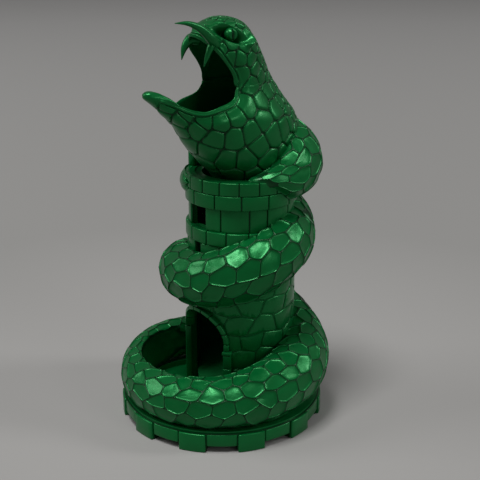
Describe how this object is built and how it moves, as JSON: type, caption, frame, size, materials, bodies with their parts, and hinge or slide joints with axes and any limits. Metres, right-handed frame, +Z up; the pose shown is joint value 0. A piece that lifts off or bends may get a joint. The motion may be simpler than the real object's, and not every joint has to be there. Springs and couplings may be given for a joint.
{
  "type": "dice tower",
  "caption": "Serpent coiled round a stone dice tower: dice drop in at its open mouth, tumble over baffles inside and roll out of an arched door into the tray that its lowest coil walls in.",
  "frame": {"origin": "middle of the round base, on the surface it stands on", "axes": "+Z up, -Y towards the player: the door, the tray and the mouth face -Y; +X is the serpent's left-hand side as seen from the front, the viewer's right"},
  "size_m": [0.1019, 0.1021, 0.1937],
  "materials": {
    "green_plastic": "satin, deep green, moulded or printed in one colour"
  },
  "bodies": {
    "tower": {"base_plate": "green_plastic", "tray_floor": "green_plastic", "tower_dowels": "green_plastic", "tower_shaft": "green_plastic", "door_arch": "green_plastic", "sill_course": "green_plastic", "lantern": "green_plastic", "corbel_course": "green_plastic", "upper_baffle": "green_plastic", "lower_baffle": "green_plastic", "exit_ramp": "green_plastic", "upper_coil": "green_plastic", "mid_coil": "green_plastic", "tray_coil": "green_plastic"},
    "head_section": {"crown_ring": "green_plastic", "crown_merlons": "green_plastic", "neck_coil": "green_plastic", "throat": "green_plastic", "lower_jaw": "green_plastic", "skull": "green_plastic", "fang_right": "green_plastic", "fang_left": "green_plastic", "small_tooth": "green_plastic", "eye_right": "green_plastic", "eye_left": "green_plastic"}
  },
  "joints": [
    {"name": "head_lift", "type": "slide", "parent": "tower", "child": "head_section", "axis": [0, 0, 1], "range_m": [0, 0.04]}
  ]
}
